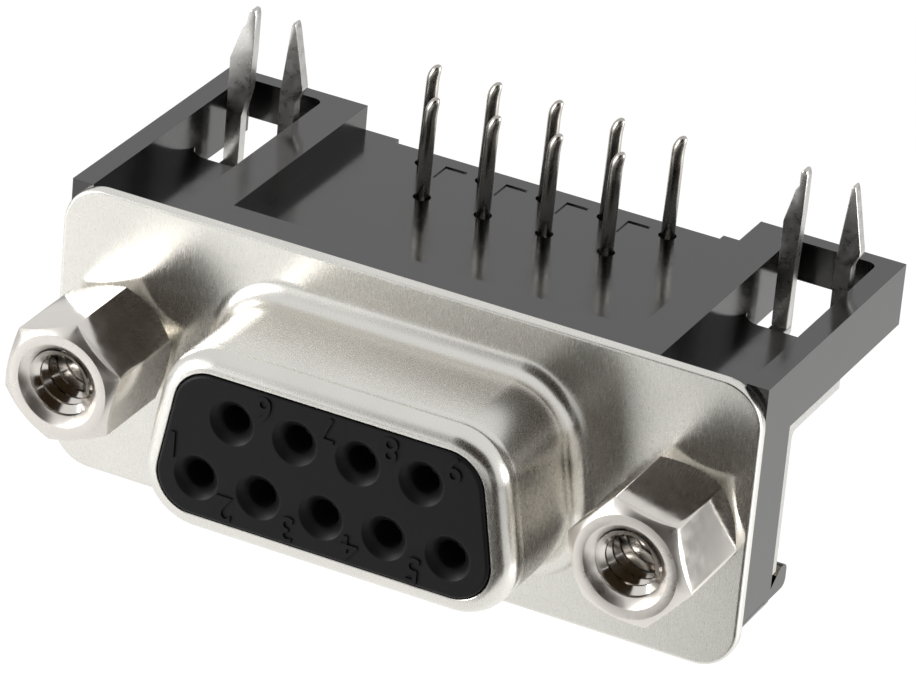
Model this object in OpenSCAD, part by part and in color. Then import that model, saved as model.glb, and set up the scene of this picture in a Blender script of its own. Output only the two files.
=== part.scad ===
// Right-angle board connector: nine sockets in a D-shaped steel skirt, with
// hexagonal jackscrews, two forked board locks and solder tails that stand up
// from the board face. Millimetres.
//
// The board face is the plane z = 0. The origin is the middle of the board
// footprint: halfway between the two rows of tails, on the line that joins the
// middles of the two board locks. The mating side looks along -Y.

/* [Board footprint] */
// Spacing of the contacts along a row
pin_pitch = 2.77; // [2.7:0.01:2.9]
// Spacing of the two rows of contacts
row_pitch = 2.84; // [2.7:0.01:3]
// Front of the flange to the nearer row of tails
edge_setback = 9.45; // [9.2:0.05:11]
// Board face to the axis of the D
axis_drop = 6.15; // [6:0.05:8]
// Length of the tails past the board face
tail_reach = 3.3; // [2.4:0.05:4.5]

/* [Flange] */
// How far the flange reaches past each side of the skirt
flange_side = 7.25; // [7:0.05:8]
// Height of the flange
flange_h = 12.5; // [12:0.1:13.5]
// Thickness of the shell's sheet
shell_t = 0.5; // [0.4:0.05:0.6]
// Corner radius of the flange
flange_r = 1.8; // [0.6:0.1:2.4]
// From each end of the flange to its jackscrew
screw_edge = 2.9; // [2.7:0.05:3.6]

/* [Skirt] */
// Outside width of the skirt at its wide side
skirt_w = 16.3; // [16.2:0.05:16.8]
// Outside height of the skirt
skirt_h = 7.9; // [7.8:0.05:8.4]
// Outside corner radius of the skirt
skirt_r = 2.45; // [2.2:0.05:2.8]
// Lean of the skirt's two ends
skirt_lean = 10; // [8:0.5:12]
// Flange front to the skirt's front edge
skirt_depth = 5.95; // [5.5:0.05:6.5]
// Fillet where the skirt is drawn out of the flange
draw_r = 0.85; // [0.3:0.05:1]

/* [Insulators] */
// Gap between the skirt and the insulator
insulator_gap = 0.18; // [0.1:0.01:0.25]
// How far the insulator stands out of the skirt
insulator_proud = 0.07; // [0:0.01:0.3]
// Diameter of the lead-in funnel of each contact hole
funnel_d = 1.9; // [1.7:0.05:2.1]
// Diameter of the contact hole behind its funnel
contact_hole_d = 1.15; // [1.1:0.01:1.3]
// How far the collars reach out past the body of the insulators
collar_reach = 1.1; // [0.8:0.05:1.2]
// Thickness of the front insulator's collar
collar_t = 1.2; // [0.8:0.05:1.4]
// Thickness of the rear insulator's collar
rear_collar_t = 0.6; // [0.4:0.05:0.7]
// How far the rear insulator stands out behind its collar
rear_body = 2; // [1.6:0.1:2.6]

/* [Contacts] */
// Outside diameter of the spring socket
socket_d = 1.85; // [1.6:0.01:1.9]
// Bore of the spring socket, for a 1 mm pin
socket_bore_d = 1.04; // [1.02:0.01:1.15]
// Diameter of the shank behind the socket
shank_d = 1.2; // [1:0.02:1.4]
// Width of the bent wire, which is square
wire_w = 0.46; // [0.4:0.01:0.5]
// Diameter of the solder tail
tail_d = 0.62; // [0.5:0.01:0.63]
// Bend radius at the middle of the wire
wire_bend = 1; // [0.8:0.1:1.3]

/* [Bracket] */
// How far each arm stands in from the flange's end
arm_inset = 0.05; // [0:0.05:0.2]
// Thickness of the wall behind the flange
wall_t = 2.6; // [2.4:0.1:3]
// Thickness of the strip that joins the arms behind the flange
strip_t = 1.7; // [1.4:0.05:2.4]
// How far the arms reach behind the middle of the board locks
arm_tail = 2.8; // [2.7:0.05:3.6]
// Height of the arms
arm_h = 2.7; // [2.5:0.05:3]
// Width of the channel in each arm
channel_w = 3.75; // [3.7:0.05:4.2]
// Depth of the channel in each arm
channel_depth = 1.65; // [1.2:0.05:1.8]
// Thickness of the arms' outer walls
arm_wall = 0.95; // [0.8:0.05:1.1]
// Width of the wall between each arm's channel and the tail plate
inner_wall = 1.7; // [1.4:0.05:1.8]
// Length of the opening for the board lock
lock_hole = 4.7; // [4.4:0.1:5]
// Thickness of the wall across the end of each arm
end_wall = 0.7; // [0.5:0.05:0.9]
// Depth of the tail plate below the board face
plate_drop = 1.1; // [0.6:0.02:1.2]
// Thickness of the tail plate
plate_t = 1.5; // [1.2:0.1:1.7]
// How far the wall's legs reach below the axis
leg_drop = 4.9; // [4.6:0.1:5.4]

/* [Board locks] */
// Thickness of the board lock's sheet
lock_t = 0.5; // [0.4:0.05:0.6]
// Width of the board lock's strap
strap_w = 5.6; // [5.2:0.1:5.8]
// Length of the prongs past the board face
prong_reach = 4.25; // [3.6:0.05:5]
// Width over the prongs below their barbs
fork_w = 3.1; // [2.9:0.05:3.1]
// Width of the slot between the prongs
fork_slot = 1.7; // [1.4:0.05:1.8]
// How far the barb stands out
barb = 0.12; // [0.06:0.01:0.12]
// How far the fork sits to the right of its jackscrew
fork_shift = 0.15; // [-0.15:0.05:0.15]

/* [Jackscrews] */
// Width across the flats of the hexagon
hex_af = 4.76; // [4.6:0.02:5]
// Length of the hexagon
hex_length = 5; // [4.6:0.1:6]
// Diameter of the thread, inside and outside
thread_d = 2.84; // [2.6:0.02:2.9]
// Depth of the threaded hole
thread_depth = 4.3; // [3.8:0.1:4.4]
// Diameter of the countersink
countersink_d = 3.5; // [3.2:0.05:3.8]
// Turn of the left and right hexagons
hex_turn = [20, -11]; // [-30:1:30]

/* [Clinch nuts] */
// Thickness of the sleeve round the thread
nut_wall = 0.65; // [0.5:0.05:0.8]
// How far the head stands out past the sleeve
nut_rim = 0.3; // [0.2:0.05:0.5]
// Depth of the sleeve in the bracket's wall
nut_sleeve = 2; // [1.6:0.1:2.2]
// Thickness of the head
nut_head = 0.8; // [0.6:0.1:1.2]
// How far the jackscrew's stud stands out behind the head
stud_proud = 1.1; // [0.5:0.1:1.5]

/* [Clearances] */
// Gap between parts that slide together
slide_gap = 0.05; // [0.03:0.01:0.08]
// Gap round a screw in a plain hole
screw_gap = 0.14; // [0.1:0.01:0.2]

/* [Hidden] */
$fn = 48;

// How far a cutting tool runs past the face it opens.
past = 1;

// How far an arc stands past the straight side that runs into it.
hair = 0.002;

// Contacts 1 to 5 are the long row, on the side away from the board.
long_row = 5;
contacts = 9;

// Skirt: middles of its four corners, wide side down, taken anticlockwise.
corner_low_x = skirt_w / 2 - skirt_r;
corner_z = skirt_h / 2 - skirt_r;
corner_high_x = corner_low_x - 2 * corner_z * tan(skirt_lean);
skirt_corners = [[-corner_low_x, -corner_z], [corner_low_x, -corner_z],
    [corner_high_x, corner_z], [-corner_high_x, corner_z]];
bore_r = skirt_r - shell_t;
body_r = bore_r - insulator_gap;
collar_r = body_r + collar_reach;

// Flange: middles of its four corners, anticlockwise.
flange_w = skirt_w + 2 * flange_side;
flange_x = flange_w / 2 - flange_r;
flange_z = flange_h / 2 - flange_r;
flange_corners = [[-flange_x, -flange_z], [flange_x, -flange_z],
    [flange_x, flange_z], [-flange_x, flange_z]];

// Depths behind the flange's front.
collar_back = shell_t + collar_t;
rear_collar_back = collar_back + rear_collar_t;
rear_face = rear_collar_back + rear_body;
wall_back = shell_t + wall_t;
row_depths = [edge_setback + row_pitch, edge_setback];
lock_depth = edge_setback + row_pitch / 2;
arm_length = lock_depth + arm_tail;

// Heights above the axis.
plate_top = axis_drop - plate_drop;
arm_under = axis_drop - arm_h;
channel_floor = axis_drop - channel_depth;

// Distances out from the middle.
arm_outer = flange_w / 2 - arm_inset;
channel_outer = arm_outer - arm_wall;
channel_inner = channel_outer - channel_w;
arm_inner = channel_inner - inner_wall;
screw_x = flange_w / 2 - screw_edge;

// Jackscrews and the clinch nuts that they screw into.
thread_r = thread_d / 2;
nut_sleeve_r = thread_r + nut_wall;
nut_head_r = nut_sleeve_r + nut_rim;
stud_length = wall_back + lock_t + nut_head + stud_proud;

// Board locks.
lock_back = wall_back + lock_t;
bend_r = lock_t + 0.3;
leg_under = -0.67 * leg_drop;
prong_w = (fork_w - fork_slot) / 2;

// ---------------------------------------------------------------- frames

// Places what is drawn from the middle of the flange's front: X along the
// flange, Y away from the mating side, Z towards the board.
module from_flange() {
    translate([0, -lock_depth, -axis_drop]) children();
}

// Turns what is drawn flat, so that its height points to the mating side.
module facing() {
    rotate([90, 0, 0]) children();
}

// Turns what is drawn flat, as depth and height, into a slab along X.
module across(low, high) {
    translate([low, 0, 0]) rotate([90, 0, 90]) linear_extrude(high - low) children();
}

// A box between two corners.
module block(low, high) {
    translate(low) cube(high - low);
}

// Draws on the right, and mirrored on the left.
module both_sides() {
    children();
    mirror([1, 0, 0]) children();
}

// ------------------------------------------------- rounded convex outlines

// Directions square to the sides before and after corner i, pointing out.
function side_after(points, i) =
    let (step = points[(i + 1) % len(points)] - points[i]) atan2(step.y, step.x) - 90;
function side_before(points, i) = side_after(points, (i + len(points) - 1) % len(points));

// One step in a direction.
function along(angle) = [cos(angle), sin(angle)];

// Four-cornered outline at a distance r outside the corner points. Its arcs
// stand past its straight sides by a hair, so that they cross them cleanly.
module rounded(points, r) {
    polygon([for (i = [0 : len(points) - 1]) each [
        points[i] + (r - hair) * along(side_before(points, i)),
        points[i] + (r - hair) * along(side_after(points, i))
    ]]);
    for (p = points) translate(p) circle(r);
}

// Carries a profile round the outline. The profile's x is the distance out
// from the corner points, and its y is the height. On the straight runs the
// profile has to draw its walls $inset thinner, and each run is let into the
// arcs at its ends.
module round_about(points) {
    for (i = [0 : len(points) - 1]) {
        from = side_before(points, i);
        to = side_after(points, i);
        span = norm(points[(i + 1) % len(points)] - points[i]);
        translate(points[i]) {
            rotate(from) rotate_extrude(angle = (to - from + 360) % 360) {
                $inset = 0;
                children();
            }
            rotate(to) translate([0, span + 10 * hair, 0]) rotate([90, 0, 0])
                linear_extrude(span + 20 * hair) {
                    $inset = hair;
                    children();
                }
        }
    }
}

// What is cut from a square corner at the origin to round it: the corner
// points along +x +y, and the material lies towards -x -y.
module corner_waste(r) {
    translate([-r, -r]) difference() {
        square(r + past);
        circle(r);
    }
}

// ---------------------------------------------------------------- contacts

// Across and height of contact i, counted from 0, at the mating face.
function contact_at(i) = i < long_row
    ? [(i - (long_row - 1) / 2) * pin_pitch, -row_pitch / 2]
    : [(i - long_row - (contacts - long_row - 1) / 2) * pin_pitch, row_pitch / 2];

// Depth of contact i's tail behind the flange: the far row serves the long one.
function tail_depth(i) = row_depths[i < long_row ? 0 : 1];

// Draws at the place of each contact.
module at_contacts() {
    for (i = [0 : contacts - 1]) translate(contact_at(i)) children();
}

// ---------------------------------------------------------------- pieces

// The drawn skirt's wall, with the sheet's bend into the flange at its root.
module skirt_profile() {
    lip_r = 0.6 * shell_t;
    inside = bore_r + $inset;
    outside = skirt_r - $inset;
    difference() {
        translate([inside, -shell_t])
            square([outside + draw_r - inside, skirt_depth + shell_t]);
        translate([outside, draw_r + hair]) square([draw_r + past, skirt_depth]);
        translate([outside + draw_r, draw_r + hair]) circle(draw_r);
        translate([outside, skirt_depth]) corner_waste(lip_r);
        translate([inside, -shell_t]) rotate(180) corner_waste(lip_r);
    }
}

// The flange's rim, with its stamped front edge rolled over.
module rim_profile() {
    edge_r = 0.4 * shell_t;
    difference() {
        translate([0, -shell_t]) square([flange_r - $inset, shell_t]);
        translate([flange_r - $inset, 0]) corner_waste(edge_r);
    }
}

module front_shell() {
    color("silver") from_flange() facing() {
        difference() {
            union() {
                translate([0, 0, -shell_t]) linear_extrude(shell_t) polygon(flange_corners);
                round_about(flange_corners) rim_profile();
            }
            translate([0, 0, -shell_t - past]) linear_extrude(shell_t + 2 * past)
                rounded(skirt_corners, skirt_r + draw_r / 2);
            both_sides() translate([screw_x, 0, -shell_t - past])
                cylinder(r = thread_r + screw_gap, h = shell_t + 2 * past);
        }
        round_about(skirt_corners) skirt_profile();
    }
}

// Contact holes with a funnel, a bore and a wider chamber for the socket.
module contact_chambers() {
    front = skirt_depth + insulator_proud;
    funnel = (funnel_d - contact_hole_d) / 2;
    at_contacts() {
        translate([0, 0, front - funnel]) cylinder(d1 = contact_hole_d, d2 = funnel_d, h = funnel);
        translate([0, 0, -collar_back]) cylinder(d = contact_hole_d, h = front + collar_back);
        translate([0, 0, -collar_back - past])
            cylinder(d = socket_d + 2 * slide_gap, h = chamber_end() + collar_back + past);
        translate([0, 0, front]) cylinder(d = funnel_d, h = past);
    }
}

// Height of the chamber's end, in front of the flange.
function chamber_end() = skirt_depth + insulator_proud - 1.5;

module front_insulator() {
    color("#1b1b1d") from_flange() facing() difference() {
        union() {
            translate([0, 0, -collar_back])
                linear_extrude(skirt_depth + insulator_proud + collar_back)
                rounded(skirt_corners, body_r);
            translate([0, 0, -collar_back]) linear_extrude(collar_t)
                rounded(skirt_corners, collar_r);
        }
        contact_chambers();
    }
}

module rear_insulator() {
    color("#1b1b1d") from_flange() facing() difference() {
        union() {
            translate([0, 0, -rear_face]) linear_extrude(rear_body + rear_collar_t)
                rounded(skirt_corners, body_r);
            translate([0, 0, -rear_collar_back]) linear_extrude(rear_collar_t)
                rounded(skirt_corners, collar_r);
        }
        at_contacts() translate([0, 0, -rear_face - past])
            cylinder(d = shank_d + 2 * slide_gap, h = rear_body + rear_collar_t + 2 * past);
    }
}

// A spring socket with two tines, its shank, and a wire bent up to the board.
module contact(i) {
    at = contact_at(i);
    depth = tail_depth(i);
    socket_front = chamber_end() - 2 * slide_gap;
    socket_back = collar_back - slide_gap;
    shank_back = rear_face + 0.5;
    slot = 0.28;
    rise = plate_top + slide_gap - at.y;
    color("goldenrod") from_flange() translate([at.x, 0, at.y]) {
        translate([0, depth, rise]) solder_tail(plate_drop - slide_gap + tail_reach);
        facing() difference() {
            union() {
                translate([0, 0, -socket_back]) cylinder(d = socket_d, h = socket_front + socket_back);
                translate([0, 0, -shank_back]) cylinder(d = shank_d, h = shank_back);
            }
            translate([0, 0, 0.4]) cylinder(d = socket_bore_d, h = socket_front);
            translate([0, 0, socket_front - 0.3]) cylinder(d1 = socket_bore_d, d2 = socket_bore_d + 0.5, h = 0.3);
            translate([-slot / 2, -socket_d, 1.2]) cube([slot, 2 * socket_d, socket_front]);
        }
        block([-wire_w / 2, shank_back - wire_w, -wire_w / 2],
            [wire_w / 2, depth - wire_bend, wire_w / 2]);
        translate([0, depth - wire_bend, wire_bend]) rotate([0, 90, 0])
            rotate_extrude(angle = 90) translate([wire_bend, 0]) square(wire_w, center = true);
        block([-wire_w / 2, depth - wire_w / 2, wire_bend], [wire_w / 2, depth + wire_w / 2, rise]);
    }
}

// A straight tail whose cropped end is rounded off from one side.
module solder_tail(length) {
    crop = tail_d;
    cylinder(d = tail_d, h = length - crop);
    intersection() {
        translate([0, 0, length - crop]) cylinder(d = tail_d, h = crop);
        translate([0.35 * tail_d, 0, length - crop]) rotate([90, 0, 0])
            cylinder(r = crop, h = 2 * tail_d, center = true);
    }
}

// ---------------------------------------------------------------- bracket

// Front view of the wall behind the flange: two legs and a bar over them.
module wall_outline() {
    foot_r = 0.8;
    difference() {
        translate([-arm_outer, -leg_drop]) square([2 * arm_outer, leg_drop + axis_drop]);
        both_sides_flat() translate([arm_outer, -leg_drop]) rotate(-90) corner_waste(foot_r);
    }
}

module both_sides_flat() {
    children();
    mirror([1, 0]) children();
}

// Room for the collars and the body of the insulators, open downwards.
module insulator_seat() {
    collar_x = corner_low_x + collar_r + slide_gap;
    collar_z = corner_z + collar_r + slide_gap;
    body_x = corner_low_x + body_r + slide_gap;
    body_z = corner_z + body_r + slide_gap;
    block([-collar_x, shell_t - past, -leg_drop - past],
        [collar_x, rear_collar_back + slide_gap, collar_z]);
    block([-body_x, shell_t, -leg_drop - past], [body_x, wall_back + past, body_z]);
}

// What is cut out of the right arm: its channel, and the opening that the
// board lock comes up through.
module arm_cuts() {
    hole_back = arm_length - end_wall;
    hole_front = hole_back - lock_hole;
    front_r = 0.9;
    back_r = 0.4;
    block([channel_inner, shell_t - past, channel_floor],
        [channel_outer, hole_back - back_r, axis_drop + past]);
    translate([0, 0, arm_under - past]) {
        linear_extrude(arm_h + 2 * past)
            lock_hole_outline(hole_front, hole_back, front_r, back_r);
    }
    block([channel_inner, hole_back - back_r, arm_under - past],
        [channel_outer, arm_length + past, channel_floor - 0.05]);
}

// Plan of the opening: rounder at the front than at the back.
module lock_hole_outline(front, back, front_r, back_r) {
    translate([channel_inner + back_r, front + front_r])
        square([channel_w - 2 * back_r, back - front - front_r]);
    translate([channel_inner, front + front_r])
        square([channel_w, back - front - front_r - back_r]);
    translate([channel_inner + front_r, front])
        square([channel_w - 2 * front_r, front_r]);
    for (x = [channel_inner + front_r, channel_outer - front_r])
        translate([x, front + front_r]) circle(front_r);
    for (x = [channel_inner + back_r, channel_outer - back_r])
        translate([x, back - back_r]) circle(back_r);
}

// Side view of the hook that holds the foot of the board lock.
module hook_side() {
    reach = 1.45;
    under = -0.87 * leg_drop;
    height = 1.05;
    nose_r = 0.35;
    translate([wall_back, under]) {
        difference() {
            polygon([[-past / 2, 0], [reach, 0], [reach, height],
                [reach - 0.6, height], [0, height * 0.43], [-past / 2, height * 0.43]]);
            translate([reach, height]) corner_waste(nose_r);
            translate([reach, 0]) rotate(-90) corner_waste(nose_r);
        }
    }
}

// Plate that guides the tails, between the two arms.
module tail_plate() {
    comb_x = 7.4;
    comb_back = arm_length - 0.35;
    block([-comb_x - past, wall_back - past, plate_top - plate_t],
        [comb_x + past, comb_back, plate_top]);
    both_sides() block([comb_x, wall_back - past, plate_top - plate_t],
        [arm_inner + past, arm_length, plate_top]);
}

// Holes for the tails, and the shallow pads between the tails of the far row.
module tail_plate_cuts() {
    pad = [1, 1.25, 0.15];
    for (i = [0 : contacts - 1])
        translate([contact_at(i).x, tail_depth(i), plate_top - plate_t - past])
            cylinder(d = wire_w * sqrt(2) + 2 * slide_gap, h = plate_t + 2 * past);
    for (i = [0 : long_row - 2])
        translate([contact_at(i).x + (pin_pitch - pad.x) / 2, row_depths[0] - 0.95, plate_top - pad.z])
            cube([pad.x, pad.y, pad.z + past]);
}

module bracket() {
    color("#1b1b1d") from_flange() difference() {
        union() {
            translate([0, wall_back, 0]) facing() linear_extrude(wall_t) wall_outline();
            both_sides() block([arm_inner, shell_t, arm_under], [arm_outer, arm_length, axis_drop]);
            both_sides() across(arm_outer - 2, arm_outer) hook_side();
            tail_plate();
        }
        insulator_seat();
        tail_plate_cuts();
        block([-arm_inner, shell_t + strip_t, plate_top],
            [arm_inner, wall_back + past, axis_drop + past]);
        both_sides() {
            arm_cuts();
            translate([screw_x, wall_back + past, 0]) facing()
                cylinder(r = nut_sleeve_r + slide_gap, h = nut_sleeve + past);
            translate([screw_x, wall_back, 0]) facing()
                cylinder(r = thread_r + screw_gap, h = wall_t + past);
        }
    }
}

// ---------------------------------------------------------------- fasteners

// Hexagon with a threaded hole, and a threaded stud behind it.
module jackscrew(turn) {
    corner_r = hex_af / 2 / cos(30);
    face_r = 0.92 * hex_af / 2;
    rim_r = corner_r + hair;
    crown = 0.12 * hex_length;
    tip = 0.14 * thread_d;
    countersink = (countersink_d - thread_d) / 2;
    color("gainsboro") facing() difference() {
        union() {
            intersection() {
                rotate(turn) cylinder(r = corner_r, h = hex_length, $fn = 6);
                rotate_extrude() polygon([[0, 0], [face_r, 0], [rim_r, crown],
                    [rim_r, hex_length - crown], [face_r, hex_length], [0, hex_length]]);
            }
            translate([0, 0, -stud_length]) rotate_extrude()
                polygon([[0, 0], [thread_r - tip, 0], [thread_r - slide_gap / 2, tip],
                    [thread_r - slide_gap / 2, stud_length], [0, stud_length]]);
        }
        translate([0, 0, hex_length - thread_depth]) cylinder(r = thread_r, h = thread_depth + past);
        translate([0, 0, hex_length - countersink])
            cylinder(r1 = thread_r, r2 = countersink_d / 2, h = countersink);
    }
}

module jackscrew_left() {
    from_flange() translate([-screw_x, 0, 0]) jackscrew(hex_turn[0]);
}

module jackscrew_right() {
    from_flange() translate([screw_x, 0, 0]) jackscrew(hex_turn[1]);
}

// Threaded sleeve in the bracket's wall, with a head behind the board lock.
module clinch_nut(side) {
    color("darkkhaki") from_flange() translate([side * screw_x, 0, 0]) facing() difference() {
        union() {
            translate([0, 0, -lock_back]) cylinder(r = nut_sleeve_r, h = nut_sleeve + lock_t - slide_gap);
            translate([0, 0, -lock_back - nut_head]) cylinder(r = nut_head_r, h = nut_head);
        }
        translate([0, 0, -lock_back - nut_head - past])
            cylinder(r = thread_r, h = nut_head + nut_sleeve + lock_t + 2 * past);
    }
}

module clinch_nut_left() {
    clinch_nut(-1);
}

module clinch_nut_right() {
    clinch_nut(1);
}

// ---------------------------------------------------------------- board locks

// Side view of the strap: down the wall's rear, and back under the arm.
module strap_side(end) {
    top = arm_under;
    difference() {
        union() {
            translate([wall_back, leg_under]) square([lock_t, top - leg_under]);
            translate([wall_back, top - lock_t]) square([end - wall_back, lock_t]);
            translate([lock_back, top - bend_r]) square(bend_r - lock_t);
        }
        translate([lock_back + bend_r - lock_t, top - bend_r]) circle(bend_r - lock_t);
    }
}

// Front view of a prong on the right of the slot, from its root to its point,
// which stands some way out from the slot. One with a hook has a barb outside.
module prong(point, hook) {
    inner = fork_slot / 2;
    outer = inner + prong_w;
    foot = arm_under - lock_t;
    spire = 0.07 * prong_w;
    polygon([[inner, foot], [outer, foot], [outer, up(0.2)], [outer + hook, up(0.32)],
        [outer + 0.8 * hook, up(0.43)], [inner + point + 0.36 * prong_w, up(0.82)],
        [inner + point + 2 * spire, up(0.84)], [inner + point + spire, up(1)],
        [inner + point - spire, up(1)], [inner + 0.6 * point, up(0.81)],
        [inner + 0.3 * point, up(0.39)], [inner, up(0.22)]]);
}

// Height of a share of the prongs' reach past the board face.
function up(share) = axis_drop + share * prong_reach;

// Front view of the fork's two prongs. Only the right one has a barb.
module prongs() {
    prong(0.6 * prong_w, barb);
    mirror([1, 0]) prong(0.07 * prong_w, 0);
}

module board_lock(side) {
    strap_end = arm_length - end_wall - lock_hole - 0.2;
    stem_back = lock_depth + lock_t / 2;
    slot_front = lock_depth - 1.6;
    color("gainsboro") from_flange() translate([side * screw_x, 0, 0]) difference() {
        union() {
            across(-strap_w / 2, strap_w / 2) strap_side(strap_end);
            translate([fork_shift, 0, 0]) {
                block([-fork_w / 2, strap_end - past, arm_under - lock_t],
                    [fork_w / 2, stem_back, arm_under]);
                translate([0, stem_back, 0]) facing() linear_extrude(lock_t) prongs();
            }
        }
        block([fork_shift - fork_slot / 2, slot_front, arm_under - lock_t - past],
            [fork_shift + fork_slot / 2, stem_back + past, arm_under + past]);
        translate([0, stem_back, arm_under - lock_t]) across(-strap_w, strap_w)
            rotate(-90) corner_waste(0.6 * lock_t);
        translate([0, lock_back + past, 0]) facing()
            cylinder(r = nut_sleeve_r + slide_gap, h = lock_t + 2 * past);
    }
}

module board_lock_left() {
    board_lock(-1);
}

module board_lock_right() {
    board_lock(1);
}

front_shell();
front_insulator();
rear_insulator();
bracket();
contact(0);  // contact_1
contact(1);  // contact_2
contact(2);  // contact_3
contact(3);  // contact_4
contact(4);  // contact_5
contact(5);  // contact_6
contact(6);  // contact_7
contact(7);  // contact_8
contact(8);  // contact_9
jackscrew_left();
jackscrew_right();
clinch_nut_left();
clinch_nut_right();
board_lock_left();
board_lock_right();
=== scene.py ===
"""Dresses a right-angle nine-way board connector: plated shell, black mouldings, bright jackscrews."""

import logging
import math
from dataclasses import dataclass
from enum import Enum
from typing import Any, Iterable, Optional, Sequence, Union

import bmesh
import bpy
import numpy as np
from mathutils import Matrix, Vector


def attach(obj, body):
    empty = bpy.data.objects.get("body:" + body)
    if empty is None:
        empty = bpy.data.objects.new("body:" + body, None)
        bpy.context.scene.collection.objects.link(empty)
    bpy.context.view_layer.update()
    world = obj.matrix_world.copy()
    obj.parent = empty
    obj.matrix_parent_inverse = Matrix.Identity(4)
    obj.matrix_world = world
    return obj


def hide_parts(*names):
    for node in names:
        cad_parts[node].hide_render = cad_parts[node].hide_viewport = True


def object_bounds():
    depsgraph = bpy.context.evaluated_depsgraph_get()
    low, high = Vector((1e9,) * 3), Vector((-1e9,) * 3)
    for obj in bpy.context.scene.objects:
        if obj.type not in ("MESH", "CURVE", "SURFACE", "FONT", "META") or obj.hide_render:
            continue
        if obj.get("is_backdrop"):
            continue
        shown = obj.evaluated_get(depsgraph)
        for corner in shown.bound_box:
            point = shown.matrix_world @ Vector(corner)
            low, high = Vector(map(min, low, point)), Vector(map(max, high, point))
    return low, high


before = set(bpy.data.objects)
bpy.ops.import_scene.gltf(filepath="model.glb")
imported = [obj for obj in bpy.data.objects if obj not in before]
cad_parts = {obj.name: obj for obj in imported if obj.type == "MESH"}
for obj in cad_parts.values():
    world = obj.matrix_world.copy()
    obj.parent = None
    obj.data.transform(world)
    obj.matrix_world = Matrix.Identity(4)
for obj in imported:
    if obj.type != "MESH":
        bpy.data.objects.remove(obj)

LOG = logging.getLogger("connector")
MM = 0.001
BODY = "root"
Number = Union[int, float]
Colour = tuple[float, float, float]

# Between these values lies most of what a noise gives
NOISE_SPAN = (0.3, 0.7)
# Width in millimetres of the narrow ring that keeps a flat face flat beside a rounded edge
GUARD = 0.04
# Segments in each rounded corner and round each hole, and in each bevel
CORNER_STEPS = 20
HOLE_STEPS = 48
BEVEL_STEPS = 2


# ---------------------------------------------------------------- nodes


class Sock:
    """One output socket of a tree, on which Python's operators add Math nodes."""

    def __init__(self, bench: "Bench", socket: bpy.types.NodeSocket) -> None:
        """Keeps the socket and the bench that makes its nodes."""
        self.bench = bench
        self.socket = socket

    def maths(self, operation: str, *others: Union["Sock", Number]) -> "Sock":
        """Adds one Math node, with this value as its first input."""
        return self.bench.node("ShaderNodeMath", {"operation": operation}, dict(enumerate((self, *others))))

    def __add__(self, other: Union["Sock", Number]) -> "Sock":
        """Sum."""
        return self.maths("ADD", other)

    __radd__ = __add__

    def __sub__(self, other: Union["Sock", Number]) -> "Sock":
        """Difference."""
        return self.maths("SUBTRACT", other)

    def __rsub__(self, other: Number) -> "Sock":
        """Reflected difference, so that 1 - mask works."""
        return self * -1.0 + other

    def __mul__(self, other: Union["Sock", Number]) -> "Sock":
        """Product."""
        return self.maths("MULTIPLY", other)

    __rmul__ = __mul__

    def beside(self, name: str) -> "Sock":
        """Another output of the same node."""
        return Sock(self.bench, self.socket.node.outputs[name])


class Bench:
    """Adds nodes to one tree, with one method for every type."""

    def __init__(self, tree: bpy.types.NodeTree) -> None:
        """Starts on a tree, and clears what it held."""
        self.tree = tree
        tree.nodes.clear()

    def node(self, kind: str, settings: dict[str, Any], values: dict[Any, Any], out: Any = 0) -> Sock:
        """Adds a node of any type.

        Args:
            kind: The node's type name.
            settings: Its own properties.
            values: Values or links for its inputs, by name or index.
            out: Name or index of the output that is handed back.

        Returns:
            That output, wrapped.
        """
        made = self.tree.nodes.new(kind)
        for key, value in settings.items():
            setattr(made, key, value)
        for key, value in values.items():
            if isinstance(value, Sock):
                self.tree.links.new(value.socket, made.inputs[key])
            else:
                made.inputs[key].default_value = value
        return Sock(self, made.outputs[out])

    def ramp(self, value: Sock, low: float, high: float, start: float, end: float) -> Sock:
        """Maps the span from low to high onto the one from start to end, held at its ends."""
        settings = {"clamp": True}
        return self.node("ShaderNodeMapRange", settings, {0: value, 1: low, 2: high, 3: start, 4: end})


class MaterialBench(Bench):
    """Makes one material's nodes."""

    def __init__(self, name: str) -> None:
        """Starts a material with an output and nothing else.

        Args:
            name: The material's name.
        """
        self.material = bpy.data.materials.new(name)
        self.material.use_nodes = True
        super().__init__(self.material.node_tree)
        self.output = self.tree.nodes.new("ShaderNodeOutputMaterial")

    def noise(self, scale: Sequence[float], detail: float) -> Sock:
        """Noise on Object coordinates.

        Args:
            scale: Features per metre along x, y and z.
            detail: Octaves.

        Returns:
            The noise's value, about 0.5.
        """
        here = self.node("ShaderNodeTexCoord", {}, {}, "Object")
        where = self.node("ShaderNodeMapping", {}, {"Vector": here, "Scale": tuple(scale)})
        return self.node("ShaderNodeTexNoise", {}, {"Vector": where, "Scale": 1.0, "Detail": detail})

    def mix(self, share: Sock, first: Colour, second: Colour) -> Sock:
        """Mixes two colours, where share is how much of the second there is."""
        values = {0: share, 6: (*first, 1.0), 7: (*second, 1.0)}
        return self.node("ShaderNodeMix", {"data_type": "RGBA"}, values, 2)

    def bump(self, height: Sock, distance: float) -> Sock:
        """A normal pushed about by a height from 0 to 1, where 1 is the distance in metres."""
        return self.node("ShaderNodeBump", {}, {"Height": height, "Distance": distance, "Strength": 1.0})

    def end(self, shader: Sock) -> bpy.types.Material:
        """Ends the material with a shader, and hands the material back."""
        self.tree.links.new(shader.socket, self.output.inputs["Surface"])
        return self.material

    def principled(self, values: dict[str, Any]) -> bpy.types.Material:
        """Ends the material with a Principled shader that has these inputs."""
        return self.end(self.node("ShaderNodeBsdfPrincipled", {}, values))


# ---------------------------------------------------------------- finishes


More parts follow.
